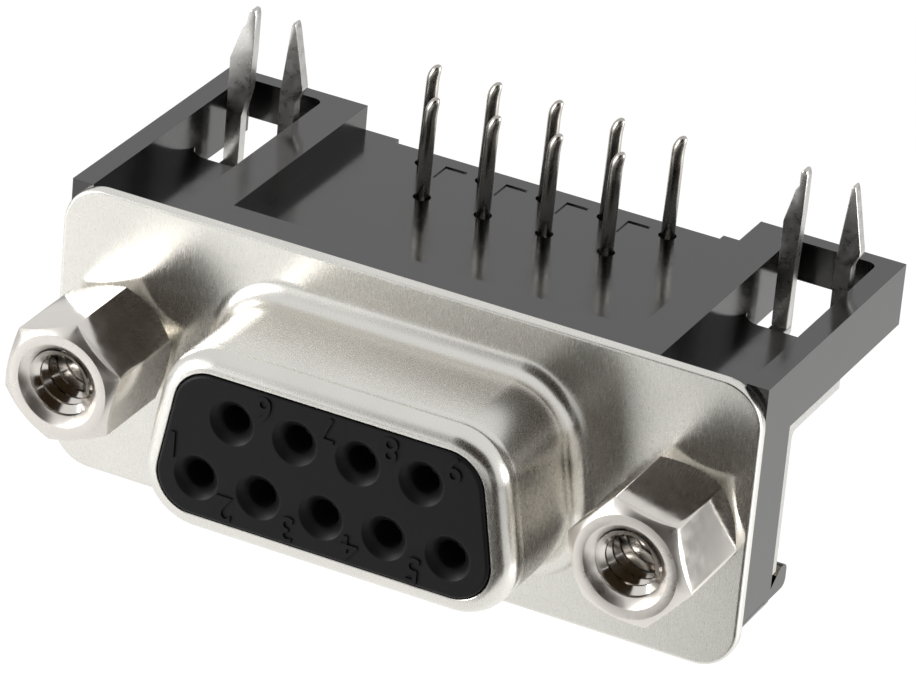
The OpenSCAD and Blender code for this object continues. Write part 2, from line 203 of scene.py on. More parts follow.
@dataclass(frozen=True)
class PlatedSheet:
    """Tin-plated drawn steel with fine upright brushing."""

    name: str = "shell tin plate"
    colour: Colour = (0.82, 0.802, 0.757)
    roughness: float = 0.265
    rough_swing: float = 0.022
    grain: tuple[float, float, float] = (16000.0, 16000.0, 2600.0)
    grain_depth: float = 0.0000005
    blotches: float = 420.0
    blotch_span: tuple[float, float] = (0.35, 0.7)
    blotch_share: float = 0.35
    blotch_shade: float = 0.9

    def build(self) -> bpy.types.Material:
        """Makes the material.

        Returns:
            The material.
        """
        bench = MaterialBench(self.name)
        grain = bench.noise(self.grain, 2.0)
        blotch = bench.ramp(bench.noise((self.blotches,) * 3, 2.0), *self.blotch_span, 0.0, self.blotch_share)
        smoothest, roughest = self.roughness - self.rough_swing, self.roughness + self.rough_swing
        return bench.principled({
            "Base Color": bench.mix(blotch, self.colour, tuple(c * self.blotch_shade for c in self.colour)),
            "Metallic": 1.0,
            "Roughness": bench.ramp(grain, *NOISE_SPAN, smoothest, roughest),
            "Normal": bench.bump(grain, self.grain_depth),
        })


@dataclass(frozen=True)
class BrightMetal:
    """Plated metal with a mirror-like skin and a little unevenness."""

    name: str
    colour: Colour
    roughness: float = 0.14
    unevenness: float = 0.000002
    features: float = 1500.0
    turned_end: Optional[float] = None
    turned_fade: float = 0.0001
    turned_roughness: float = 0.17
    smoother: float = 0.03
    rougher: float = 0.06

    def build(self) -> bpy.types.Material:
        """Makes the material. In front of turned_end along y, in metres, it is rougher.

        Returns:
            The material.
        """
        bench = MaterialBench(self.name)
        waves = bench.noise((self.features,) * 3, 3.0)
        rough = bench.ramp(waves, *NOISE_SPAN, self.roughness - self.smoother, self.roughness + self.rougher)
        if self.turned_end is not None:
            place = bench.node("ShaderNodeTexCoord", {}, {}, "Object")
            deep = bench.node("ShaderNodeSeparateXYZ", {}, {0: place}, "Y")
            faded = self.turned_end + self.turned_fade
            rough = rough + bench.ramp(deep, self.turned_end, faded, self.turned_roughness, 0.0)
        return bench.principled({
            "Base Color": (*self.colour, 1.0),
            "Metallic": 1.0,
            "Roughness": rough,
            "Normal": bench.bump(waves, self.unevenness),
        })


@dataclass(frozen=True)
class Moulding:
    """Black moulded plastic."""

    name: str
    colour: Colour
    roughness: float
    specular: float
    ior: float = 1.5
    pits: float = 0.0000015
    pit_scale: float = 9000.0
    cloud_scale: float = 700.0
    smoother: float = 0.03
    rougher: float = 0.04

    def build(self) -> bpy.types.Material:
        """Makes the material.

        Returns:
            The material.
        """
        bench = MaterialBench(self.name)
        cloud = bench.noise((self.cloud_scale,) * 3, 4.0)
        fine = bench.noise((self.pit_scale,) * 3, 2.0)
        smoothest, roughest = self.roughness - self.smoother, self.roughness + self.rougher
        return bench.principled({
            "Base Color": (*self.colour, 1.0),
            "Roughness": bench.ramp(cloud, *NOISE_SPAN, smoothest, roughest),
            "Specular IOR Level": self.specular,
            "IOR": self.ior,
            "Normal": bench.bump(fine, self.pits),
        })


class Finish(Enum):
    """The finishes of the connector's pieces, by the record's slot."""

    SHELL = "shell"
    INSULATOR = "insulator"
    BRACKET = "bracket"
    CONTACT = "contact"
    JACKSCREW = "jackscrew"
    CLINCH_NUT = "clinch_nut"
    BOARD_LOCK = "board_lock"


FINISHES: dict[Finish, Any] = {
    Finish.SHELL: PlatedSheet(),
    Finish.INSULATOR: Moulding("satin insulator", (0.006, 0.006, 0.0064), 0.42, 0.2),
    Finish.BRACKET: Moulding("gloss bracket", (0.0012, 0.0012, 0.0013), 0.15, 0.5, 1.8),
    Finish.CONTACT: BrightMetal("tinned wire", (0.5, 0.47, 0.43), 0.25),
    Finish.JACKSCREW: BrightMetal("bright nickel", (0.78, 0.745, 0.7), 0.12, turned_end=-0.01546),
    Finish.CLINCH_NUT: BrightMetal("clinch brass", (0.72, 0.64, 0.46), 0.28),
    Finish.BOARD_LOCK: BrightMetal("tinned lock", (0.58, 0.57, 0.55), 0.28, 0.0000006, 3000.0),
}


class FinishRack:
    """Keeps one material for each finish."""

    def __init__(self) -> None:
        """Builds every material once."""
        self.materials = {finish: FINISHES[finish].build() for finish in Finish}

    def dress(self, piece: bpy.types.Object, finish: Finish) -> bpy.types.Object:
        """Gives a piece its material.

        Args:
            piece: The piece.
            finish: Its finish.

        Returns:
            The piece.
        """
        piece.data.materials.clear()
        piece.data.materials.append(self.materials[finish])
        return piece


# ---------------------------------------------------------------- studio


def added(name: str, data: Optional[bpy.types.ID]) -> bpy.types.Object:
    """A new object in the scene.

    Args:
        name: Its name.
        data: Its mesh, curve, lamp or camera.

    Returns:
        The object.
    """
    made = bpy.data.objects.new(name, data)
    bpy.context.scene.collection.objects.link(made)
    return made


@dataclass
class Viewpoint:
    """The camera, placed round the middle of the flange's front."""

    azimuth: float = 24.6671
    elevation: float = 27.1733
    roll: float = 5.2657
    distance: float = 255.1516
    side: float = 2.4735
    rise: float = 3.4431
    focal: float = 254.49
    sensor: float = 36.0
    near: float = 10.0

    def build(self, middle: Vector) -> bpy.types.Object:
        """Makes the scene's camera.

        Args:
            middle: Middle of the flange's front, in metres.

        Returns:
            The camera.
        """
        az, el, roll = (math.radians(a) for a in (self.azimuth, self.elevation, self.roll))
        back = Vector((math.sin(az) * math.cos(el), -math.cos(az) * math.cos(el), math.sin(el)))
        level = Vector((math.cos(az), math.sin(az), 0))
        upright = back.cross(level)
        right = math.cos(roll) * level + math.sin(roll) * upright
        up = -math.sin(roll) * level + math.cos(roll) * upright
        place = middle + (self.side * right + self.rise * up + self.distance * back) * MM
        data = bpy.data.cameras.new("viewpoint")
        data.lens = self.focal
        data.sensor_width = self.sensor
        data.clip_start = self.near * MM
        camera = added("viewpoint", data)
        turn = Matrix((right, up, back)).transposed().to_4x4()
        camera.matrix_world = Matrix.Translation(place) @ turn
        bpy.context.scene.camera = camera
        return camera


@dataclass(frozen=True)
class Softbox:
    """One rectangular lamp that faces the connector."""

    name: str
    place: tuple[float, float, float]
    size: tuple[float, float]
    watts: float
    shows: bool = True

    def build(self, target: Vector) -> bpy.types.Object:
        """Hangs the lamp.

        Args:
            target: The point that it faces, in metres.

        Returns:
            The lamp.
        """
        data = bpy.data.lights.new(self.name, "AREA")
        data.shape = "RECTANGLE"
        data.size, data.size_y = (s * MM for s in self.size)
        data.energy = self.watts
        lamp = added(self.name, data)
        place = Vector(self.place) * MM
        lamp.location = place
        lamp.rotation_euler = (target - place).to_track_quat("-Z", "Y").to_euler()
        lamp.visible_camera = False
        lamp.visible_glossy = self.shows
        return lamp


@dataclass
class Studio:
    """Pale floor, pale surround, soft lamps, and two dark cards in front for the metal to mirror."""

    floor_drop: float = 80.0
    floor_reach: float = 1500.0
    paper: Colour = (0.86, 0.86, 0.85)
    glow: float = 1.06
    glow_share: float = 0.85
    sky: Colour = (0.8, 0.8, 0.8)
    surround: float = 1.0
    fill: float = 0.55
    aim: tuple[float, float, float] = (0.0, -8.0, -5.0)
    card_colour: Colour = (0.016, 0.01, 0.005)
    card_front: float = -111.0
    cards: tuple[tuple[tuple[float, float], ...], ...] = (
        ((-26.0, 8.0), (150.0, 8.0), (150.0, 160.0), (-46.0, 160.0), (-44.0, 40.0)),
        ((-22.0, -90.0), (150.0, -90.0), (150.0, 2.0), (45.0, 2.0), (45.0, -34.0), (-22.0, -34.0)),
    )
    lamps: tuple[Softbox, ...] = (
        Softbox("key", (-300.0, -230.0, 60.0), (200.0, 200.0), 0.8),
        Softbox("top", (-40.0, 120.0, 330.0), (300.0, 260.0), 0.8, False),
        Softbox("right", (260.0, 90.0, -5.0), (160.0, 160.0), 0.6),
    )

    def build(self) -> None:
        """Sets up everything round the connector."""
        scene = bpy.context.scene
        scene.view_settings.view_transform = "Standard"
        self._world(scene)
        self._floor()
        for number, outline_at in enumerate(self.cards):
            self._card(number, outline_at)
        for lamp in self.lamps:
            lamp.build(Vector(self.aim) * MM)

    def _world(self, scene: bpy.types.Scene) -> None:
        """A bright surround for the camera and for reflections, and a softer one as light.

        Args:
            scene: The scene that gets it.
        """
        world = bpy.data.worlds.new("surround")
        world.use_nodes = True
        bench = Bench(world.node_tree)
        camera = bench.node("ShaderNodeLightPath", {}, {}, "Is Camera Ray")
        seen = camera.maths("MAXIMUM", camera.beside("Is Glossy Ray"))
        seen = seen.maths("MAXIMUM", camera.beside("Is Transmission Ray"))
        level = bench.ramp(seen, 0.0, 1.0, self.fill, self.surround)
        sky = bench.node("ShaderNodeBackground", {}, {"Color": (*self.sky, 1.0), "Strength": level})
        bench.tree.links.new(sky.socket, bench.tree.nodes.new("ShaderNodeOutputWorld").inputs["Surface"])
        scene.world = world

    def _floor(self) -> None:
        """The pale floor: white to the camera, plain matt paper to everything else."""
        low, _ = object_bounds()
        reach = self.floor_reach * MM
        height = low[2] - self.floor_drop * MM
        square = [(x * reach, y * reach, height) for x, y in ((-1, -1), (1, -1), (1, 1), (-1, 1))]
        mesh = bpy.data.meshes.new("floor")
        mesh.from_pydata(square, [], [(0, 1, 2, 3)])
        floor = added("floor", mesh)
        bench = MaterialBench("floor paper")
        paper = bench.node("ShaderNodeBsdfDiffuse", {}, {"Color": (*self.paper, 1.0)})
        glow = bench.node("ShaderNodeEmission", {}, {"Color": (1, 1, 1, 1), "Strength": self.glow})
        camera = bench.node("ShaderNodeLightPath", {}, {}, "Is Camera Ray")
        both = bench.node("ShaderNodeMixShader", {}, {0: camera * self.glow_share, 1: paper, 2: glow})
        mesh.materials.append(bench.end(both))
        floor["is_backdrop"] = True

    def _card(self, number: int, outline_at: Sequence[tuple[float, float]]) -> None:
        """A dark card in front of the connector, for the metal to mirror.

        Args:
            number: Which card it is.
            outline_at: Its corners across and up, in millimetres.
        """
        name = f"dark_card_{number}"
        mesh = bpy.data.meshes.new(name)
        at = [(x * MM, self.card_front * MM, z * MM) for x, z in outline_at]
        mesh.from_pydata(at, [], [tuple(range(len(at)))])
        card = added(name, mesh)
        card.visible_camera = False
        card.visible_shadow = False
        card.visible_diffuse = False
        bench = MaterialBench(name)
        matt = bench.node("ShaderNodeBsdfDiffuse", {}, {"Color": (*self.card_colour, 1.0)})
        mesh.materials.append(bench.end(matt))
        card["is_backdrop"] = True


# ---------------------------------------------------------------- sizes and shapes


@dataclass(frozen=True)
class Plan:
    """The connector's driving sizes in millimetres, as its solids have them."""

    pin_pitch: float = 2.77
    row_pitch: float = 2.84
    lock_depth: float = 10.87
    axis_drop: float = 6.15
    skirt_w: float = 16.3
    skirt_h: float = 7.9
    skirt_r: float = 2.45
    skirt_lean: float = 10.0
    skirt_depth: float = 5.95
    shell_t: float = 0.5
    flange_side: float = 7.25
    flange_h: float = 12.5
    flange_r: float = 1.8
    screw_edge: float = 2.9
    long_row: int = 5
    contacts: int = 9

    @property
    def flange_w(self) -> float:
        """Width of the flange."""
        return self.skirt_w + 2 * self.flange_side

    @property
    def screw_x(self) -> float:
        """How far each jackscrew stands out from the middle."""
        return self.flange_w / 2 - self.screw_edge

    def skirt_corners(self) -> list[Vector]:
        """Middles of the skirt's four corners, wide side down, anticlockwise from the front."""
        low_x = self.skirt_w / 2 - self.skirt_r
        z = self.skirt_h / 2 - self.skirt_r
        high_x = low_x - 2 * z * math.tan(math.radians(self.skirt_lean))
        return [Vector(p) for p in ((-low_x, -z), (low_x, -z), (high_x, z), (-high_x, z))]

    def flange_corners(self) -> list[Vector]:
        """Middles of the flange's four corners, anticlockwise from the front."""
        x = self.flange_w / 2 - self.flange_r
        z = self.flange_h / 2 - self.flange_r
        return [Vector(p) for p in ((-x, -z), (x, -z), (x, z), (-x, z))]

    def contact_at(self, index: int) -> Vector:
        """Across and height of a contact at the mating face.

        Args:
            index: The contact, counted from 0.

        Returns:
            Its place.
        """
        if index < self.long_row:
            return Vector(((index - (self.long_row - 1) / 2) * self.pin_pitch, -self.row_pitch / 2))
        short = self.contacts - self.long_row
        return Vector(((index - self.long_row - (short - 1) / 2) * self.pin_pitch, self.row_pitch / 2))

    def point(self, across: float, out: float, up: float) -> Vector:
        """A point in the row frame.

        Args:
            across: Millimetres to the right of the axis of the D.
            out: Millimetres in front of the flange.
            up: Millimetres from that axis towards the board.

        Returns:
            The point, in metres.
        """
        return Vector((across, -self.lock_depth - out, up - self.axis_drop)) * MM


PLAN = Plan()


class Shaper:
    """Collects the loops and faces of one mesh."""

    def __init__(self, name: str) -> None:
        """Starts an empty mesh for the piece of this name."""
        self.name = name
        self.bm = bmesh.new()

    def ring(self, points: Iterable[Vector]) -> list[bmesh.types.BMVert]:
        """Adds a loop of vertices at points in metres."""
        return [self.bm.verts.new(p) for p in points]

    def bridge(self, first: Sequence[Any], second: Sequence[Any]) -> None:
        """Joins two loops of equal length with four-sided faces.

        Args:
            first: One loop.
            second: The other.
        """
        count = len(first)
        for i in range(count):
            k = (i + 1) % count
            self.bm.faces.new((first[i], first[k], second[k], second[i]))

    def loft(self, rings: Sequence[Sequence[Any]]) -> None:
        """Joins each loop with the next.

        Args:
            rings: The loops in order.
        """
        for first, second in zip(rings, rings[1:]):
            self.bridge(first, second)

    def fill(self, *rings: Sequence[Any]) -> None:
        """Fills a flat region between loops.

        Args:
            rings: The outer loop and its holes.
        """
        edges = []
        for ring in rings:
            for i, vert in enumerate(ring):
                pair = (vert, ring[(i + 1) % len(ring)])
                edges.append(self.bm.edges.get(pair) or self.bm.edges.new(pair))
        bmesh.ops.triangle_fill(self.bm, use_beauty=True, edges=edges)

    def finish(self, smooth: float) -> bpy.types.Object:
        """Ends the mesh with its faces pointing outwards.

        Args:
            smooth: Edges below this angle, in degrees, are shaded smooth.

        Returns:
            The object.
        """
        bmesh.ops.recalc_face_normals(self.bm, faces=self.bm.faces)
        mesh = bpy.data.meshes.new(self.name)
        self.bm.to_mesh(mesh)
        self.bm.free()
        piece = added(self.name, mesh)
        soften(piece, smooth)
        return piece


def soften(piece: bpy.types.Object, angle: float) -> None:
    """Shades a piece smooth except across sharper edges.

    Args:
        piece: The piece.
        angle: The angle in degrees.
    """
    mesh = piece.data
    mesh.polygons.foreach_set("use_smooth", [True] * len(mesh.polygons))
    mesh.set_sharp_from_angle(angle=math.radians(angle))
    weigh = piece.modifiers.new("weigh", "WEIGHTED_NORMAL")
    weigh.mode = "FACE_AREA"
    weigh.weight = 50
    weigh.keep_sharp = True
    settle(piece)


def outline(corners_at: Sequence[Vector], radius: float, steps: int) -> list[Vector]:
    """A convex outline at a distance outside its corner points.

    Args:
        corners_at: The corner points, anticlockwise.
        radius: The distance.
        steps: Segments in each corner's arc.

    Returns:
        The outline's points, anticlockwise.
    """
    count = len(corners_at)
    points = []
    for i, corner in enumerate(corners_at):
        before = corner - corners_at[i - 1]
        after = corners_at[(i + 1) % count] - corner
        start = math.atan2(before.y, before.x) - math.pi / 2
        turn = (math.atan2(after.y, after.x) - math.atan2(before.y, before.x)) % (2 * math.pi)
        for k in range(steps + 1):
            angle = start + turn * k / steps
            points.append(corner + radius * Vector((math.cos(angle), math.sin(angle))))
    return points


def arc(middle: Sequence[float], radius: float, start: float, end: float,
        steps: int) -> list[tuple[float, float]]:
    """Points along an arc, with its start and end in degrees."""
    angles = [math.radians(start + (end - start) * k / steps) for k in range(steps + 1)]
    return [(middle[0] + radius * math.cos(a), middle[1] + radius * math.sin(a)) for a in angles]


def circle(middle: Sequence[float], radius: float, steps: int) -> list[tuple[float, float]]:
    """Points round a circle."""
    return arc(middle, radius, 0, 360 - 360 / steps, steps - 1)


def round_edges(piece: bpy.types.Object, width: float, angle: float) -> None:
    """Rounds a piece's sharp edges with an applied bevel.

    Args:
        piece: The piece.
        width: The bevel's width in millimetres.
        angle: Edges sharper than this are rounded, in degrees.
    """
    bevel = piece.modifiers.new("edge", "BEVEL")
    bevel.width = width * MM
    bevel.segments = BEVEL_STEPS
    bevel.limit_method = "ANGLE"
    bevel.angle_limit = math.radians(angle)
    bevel.harden_normals = False
    bevel.use_clamp_overlap = True
    settle(piece)


def settle(piece: bpy.types.Object) -> None:
    """Turns a piece's modifiers into plain mesh.

    Args:
        piece: The piece.
    """
    evaluated = piece.evaluated_get(bpy.context.evaluated_depsgraph_get())
    mesh = bpy.data.meshes.new_from_object(evaluated)
    piece.modifiers.clear()
    piece.data = mesh


def copy_of(node: str, name: str) -> bpy.types.Object:
    """A welded copy of a solid, with its flat faces joined up.

    Args:
        node: The solid's name.
        name: The copy's name.

    Returns:
        The copy.
    """
    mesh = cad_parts[node].data.copy()
    piece = added(name, mesh)
    bm = bmesh.new()
    bm.from_mesh(mesh)
    bmesh.ops.remove_doubles(bm, verts=bm.verts, dist=0.002 * MM)
    bmesh.ops.dissolve_limit(bm, angle_limit=math.radians(0.5), verts=bm.verts, edges=bm.edges)
    bm.to_mesh(mesh)
    bm.free()
    return piece


def join(pieces: Sequence[bpy.types.Object], name: str) -> bpy.types.Object:
    """Joins pieces into one mesh at the origin.

    Args:
        pieces: The pieces, each with its place in its mesh.
        name: The joined piece's name.

    Returns:
        The joined piece.
    """
    bm = bmesh.new()
    for piece in pieces:
        bm.from_mesh(piece.data)
        bpy.data.objects.remove(piece)
    mesh = bpy.data.meshes.new(name)
    bm.to_mesh(mesh)
    bm.free()
    return added(name, mesh)


def cut_above(piece: bpy.types.Object, height: Vector) -> None:
    """Cuts away what stands past a height and closes the cut.

    Args:
        piece: The piece.
        height: A point at that height.
    """
    bm = bmesh.new()
    bm.from_mesh(piece.data)
    cut = bmesh.ops.bisect_plane(bm, geom=[*bm.verts, *bm.edges, *bm.faces], dist=0, plane_co=height,
                                 plane_no=(0, 0, 1), clear_outer=True)
    edges = [e for e in cut["geom_cut"] if isinstance(e, bmesh.types.BMEdge)]
    bmesh.ops.holes_fill(bm, edges=edges)
    bm.to_mesh(piece.data)
    bm.free()


# ---------------------------------------------------------------- sub-assemblies


class Side(Enum):
    """The connector's two ends."""

    LEFT = -1
    RIGHT = 1


@dataclass
class FaceShell:
    """The drawn steel shell: a flange with rolled edges and a D-shaped skirt."""

    rack: FinishRack
    draw_r: float = 0.85
    lip_depth: float = 0.85
    lip_in: float = 0.78
    lip_inner: float = 1.65
    rim_r: float = 0.13
    back_r: float = 0.06
    bend_r: float = 0.55
    screw_hole_r: float = 1.56
    # How deep the valley is, at steps of the way down from the lip
    valley: tuple[tuple[float, float], ...] = ((0.0, 0.55), (0.012, 0.4), (0.035, 0.22), (0.012, 0.06))
    # The lip's inner edge: distance out from lip_inner, and down from the skirt's end
    nose: tuple[tuple[float, float], ...] = ((0.04, 0.005), (0.01, 0.03), (0.0, 0.08), (0.0, 0.3))

    def skirt_section(self) -> list[tuple[float, float]]:
        """Section of the skirt, from the flange's front, over the lip, to the flange's back.

        Returns:
            Pairs of distance out from the corner points and height over the flange.
        """
        outer = PLAN.skirt_r
        inner = outer - PLAN.shell_t
        top = PLAN.skirt_depth
        guard = [(outer + self.draw_r + GUARD, 0.0)]
        fillet = arc((outer + self.draw_r, self.draw_r), self.draw_r, 270, 180, 10)
        valley = [(outer - deep, top - self.lip_depth - down) for deep, down in self.valley]
        curl = [(outer - self.lip_in * (1 - math.cos(a)), top - self.lip_depth * (1 - math.sin(a)))
                for a in (math.radians(v) for v in range(0, 80, 6))]
        nose = [(self.lip_inner + out, top - down) for out, down in self.nose]
        inside = [(inner, top - 0.8), (inner, 0.2)]
        turn = arc((inner + self.bend_r, self.bend_r - PLAN.shell_t), self.bend_r, 180, 270, 6)
        back_guard = [(inner + self.bend_r + 0.1, -PLAN.shell_t)]
        return guard + fillet + valley + curl + nose + inside + turn + back_guard

    def build(self) -> bpy.types.Object:
        """Makes the shell.

        Returns:
            The dressed piece.
        """
        shape = Shaper("drawn_shell")
        middle = [self._place(PLAN.skirt_corners(), r, h, shape) for r, h in self.skirt_section()]
        shape.loft(middle)
        rim = [self._place(PLAN.flange_corners(), r, h, shape) for r, h in self.rim_section()]
        shape.loft(rim)
        for end, height in ((0, 0.0), (-1, -PLAN.shell_t)):
            holes = [self._screw_hole(side, height, shape) for side in Side]
            shape.fill(rim[end], middle[end], *holes)
        piece = shape.finish(28)
        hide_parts("front_shell")
        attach(piece, BODY)
        return self.rack.dress(piece, Finish.SHELL)

    def rim_section(self) -> list[tuple[float, float]]:
        """Section of the flange's rim, from its front to its back.

        Returns:
            Pairs of distance out from the corner points and height over the flange.
        """
        r, t = PLAN.flange_r, PLAN.shell_t
        front = [(r - self.rim_r - GUARD, 0.0)] + arc((r - self.rim_r, -self.rim_r), self.rim_r, 90, 0, 6)
        back = arc((r - self.back_r, self.back_r - t), self.back_r, 0, -90, 2)
        return front + back + [(r - self.back_r - GUARD, -t)]

    def _place(self, at: Sequence[Vector], radius: float, height: float, shape: Shaper) -> list[Any]:
        """One loop round an outline, at a distance out from its corner points and a height."""
        flat = outline(at, radius, CORNER_STEPS)
        return shape.ring(PLAN.point(p.x, height, p.y) for p in flat)

    def _screw_hole(self, side: Side, height: float, shape: Shaper) -> list[Any]:
        """The edge of a screw's hole, at a height over the flange."""
        flat = circle((side.value * PLAN.screw_x, 0), self.screw_hole_r, HOLE_STEPS)
        return shape.ring(PLAN.point(x, height, z) for x, z in flat)


@dataclass
class FrontInsulator:
    """The black moulding in the skirt, with nine funnels and raised numerals."""

    rack: FinishRack
    body_r: float = 1.61
    collar_r: float = 2.87
    proud: float = 0.07
    edge_r: float = 0.14
    funnel_r: float = 0.95
    hole_r: float = 0.575
    hole_depth: float = 2.2
    collar_front: float = -0.5
    collar_back: float = -1.7
    numeral_height: float = 1.13
    numeral_width: float = 0.95
    numeral_relief: float = 0.08
    numeral_weight: float = 0.012
    funnel_lip: float = 0.03
    first_numeral: tuple[float, float] = (-1.11, 1.15)
    long_numeral: tuple[float, float] = (-1.45, -0.98)
    short_numeral: tuple[float, float] = (1.33, 1.02)

    def section(self) -> list[tuple[float, float]]:
        """Section from the front face's edge back to the collar's rear.

        Returns:
            Pairs of distance out from the corner points and height over the flange.
        """
        front = PLAN.skirt_depth + self.proud
        edge = arc((self.body_r - self.edge_r, front - self.edge_r), self.edge_r, 90, 0, 4)
        guard = [(self.body_r - self.edge_r - GUARD, front)]
        return guard + edge + [(self.body_r, self.collar_front), (self.collar_r, self.collar_front),
                               (self.collar_r, self.collar_back)]

    def build(self) -> bpy.types.Object:
        """Makes the moulding.

        Returns:
            The dressed piece.
        """
        shape = Shaper("moulded_insulator")
        rings = []
        for radius, height in self.section():
            flat = outline(PLAN.skirt_corners(), radius, CORNER_STEPS)
            rings.append(shape.ring(PLAN.point(p.x, height, p.y) for p in flat))
        shape.loft(rings)
        shape.fill(rings[-1])
        shape.fill(rings[0], *[self._chamber(i, shape) for i in range(PLAN.contacts)])
        body = shape.finish(30)
        piece = join([body, *[self._numeral(i) for i in range(PLAN.contacts)]], "moulded_insulator")
        soften(piece, 30)
        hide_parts("front_insulator")
        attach(piece, BODY)
        return self.rack.dress(piece, Finish.INSULATOR)

    def _chamber(self, index: int, shape: Shaper) -> list[Any]:
        """A funnel and its hole.

        Args:
            index: The contact, counted from 0.
            shape: The mesh that gets it.

        Returns:
            The funnel's outer edge.
        """
        at = PLAN.contact_at(index)
        front = PLAN.skirt_depth + self.proud
        slope = self.funnel_r - self.hole_r
        lip = self.funnel_lip
        steps = ((self.funnel_r + 2 * lip, 0.0), (self.funnel_r + lip, 0.0), (self.funnel_r, 0.5 * lip),
                 (self.hole_r + lip, slope * 0.95), (self.hole_r, slope + 0.08),
                 (self.hole_r, self.hole_depth))
        rings = []
        for radius, depth in steps:
            flat = circle(at, radius, HOLE_STEPS)
            rings.append(shape.ring(PLAN.point(x, front - depth, z) for x, z in flat))
        shape.loft(rings)
        shape.fill(rings[-1])
        return rings[0]

    def numeral_at(self, index: int) -> Vector:
        """Middle of a contact's numeral: beside its hole and away from the other row, but for the first."""
        beside = self.long_numeral if index < PLAN.long_row else self.short_numeral
        return PLAN.contact_at(index) + Vector(beside if index else self.first_numeral)

    def _numeral(self, index: int) -> bpy.types.Object:
        """A raised numeral, upright when the board is below.

        Args:
            index: The contact, counted from 0.

        Returns:
            Its mesh, in place.
        """
        curve = bpy.data.curves.new(f"numeral_{index + 1}", "FONT")
        curve.body = str(index + 1)
        curve.align_x = "CENTER"
        curve.align_y = "CENTER"
        curve.size = self.numeral_height * MM
        curve.extrude = self.numeral_relief * MM
        curve.offset = self.numeral_weight * MM
        curve.resolution_u = 4
        text = added(curve.name, curve)
        bpy.context.view_layer.update()
        mesh = bpy.data.meshes.new_from_object(text.evaluated_get(bpy.context.evaluated_depsgraph_get()))
        bpy.data.objects.remove(text)
        digit = np.array([v.co for v in mesh.vertices])
        rise = self.numeral_height * MM / np.ptp(digit[:, 1])
        mesh.transform(Matrix.Diagonal((rise * self.numeral_width, rise, 1, 1))
                       @ Matrix.Translation(-Vector((*(digit.max(0) + digit.min(0))[:2] / 2, 0))))
        at = self.numeral_at(index)
        stand = Matrix.Rotation(math.radians(90), 4, "X")
        turn = Matrix.Rotation(math.radians(180), 4, "Z")
        place = Matrix.Translation(PLAN.point(at.x, PLAN.skirt_depth + self.proud, at.y))
        mesh.transform(place @ stand @ turn)
        return added(curve.name, mesh)


@dataclass
class Jackscrew:
    """A hexagonal jackscrew, chamfered at both ends, with a threaded hole."""

    rack: FinishRack
    side: Side
    turn: float
    across_flats: float = 4.76
    length: float = 5.0
    face_share: float = 0.92
    crown: float = 0.45
    root: float = 0.6
    countersink_r: float = 1.75
    thread_r: float = 1.42
    crest_r: float = 1.14
    thread_pitch: float = 0.64
    thread_depth: float = 4.3
    stud_r: float = 1.395
    stud_length: float = 5.5
    tip: float = 0.4
    edge: float = 0.07
    steps: int = 216

    def build(self) -> bpy.types.Object:
        """Makes the jackscrew and its thread.

        Returns:
            The dressed piece.
        """
        name = f"hex_screw_{self.side.name.lower()}"
        shape = Shaper(name)
        apothem = self.across_flats / 2
        corner = apothem / math.cos(math.pi / 6)
        face_r = apothem * self.face_share
        rim_front, rim_back, front, back = [], [], [], []
        for k in range(self.steps):
            angle = 2 * math.pi * k / self.steps
            within = (angle - math.radians(self.turn)) % (math.pi / 3) - math.pi / 6
            radius = apothem / math.cos(within)
            drop = max(0.0, radius - face_r) / (corner - face_r)
            rim_front.append(self._at(radius, angle, self.length - self.crown * drop))
            rim_back.append(self._at(radius, angle, self.root * drop))
            front.append(self._at(face_r, angle, self.length))
            back.append(self._at(face_r, angle, 0.0))
        sink = self.countersink_r - self.thread_r
        floor = self.length - self.thread_depth
        inner = [(self.countersink_r + GUARD, self.length), (self.countersink_r, self.length - GUARD / 2),
                 (self.thread_r, self.length - sink), (self.thread_r, floor)]
        rings = [back, rim_back, rim_front, front]
        rings += [self._circle(radius, height) for radius, height in inner]
        shoulder = (self.stud_r, self.tip - self.stud_length)
        point = (self.stud_r - self.tip, -self.stud_length)
        stud = [self._circle(r, h) for r, h in ((self.stud_r, 0.0), shoulder, point)]
        rings = [shape.ring(points) for points in list(reversed(stud)) + rings]
        shape.loft(rings)
        shape.fill(rings[0])
        shape.fill(rings[-1])
        body = shape.finish(20)
        round_edges(body, self.edge, 25.0)
        piece = join([body, Thread(self).build()], name)
        soften(piece, 22)
        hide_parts(f"jackscrew_{self.side.name.lower()}")
        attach(piece, BODY)
        return self.rack.dress(piece, Finish.JACKSCREW)

    def _at(self, radius: float, angle: float, height: float) -> Vector:
        """A point round the screw's axis, at an angle in radians from +X towards the board."""
        across = self.side.value * PLAN.screw_x + radius * math.cos(angle)
        return PLAN.point(across, height, radius * math.sin(angle))

    def _circle(self, radius: float, height: float) -> list[Vector]:
        """Points of a circle round the screw's axis, at a height over the flange."""
        return [self._at(radius, 2 * math.pi * k / self.steps, height) for k in range(self.steps)]


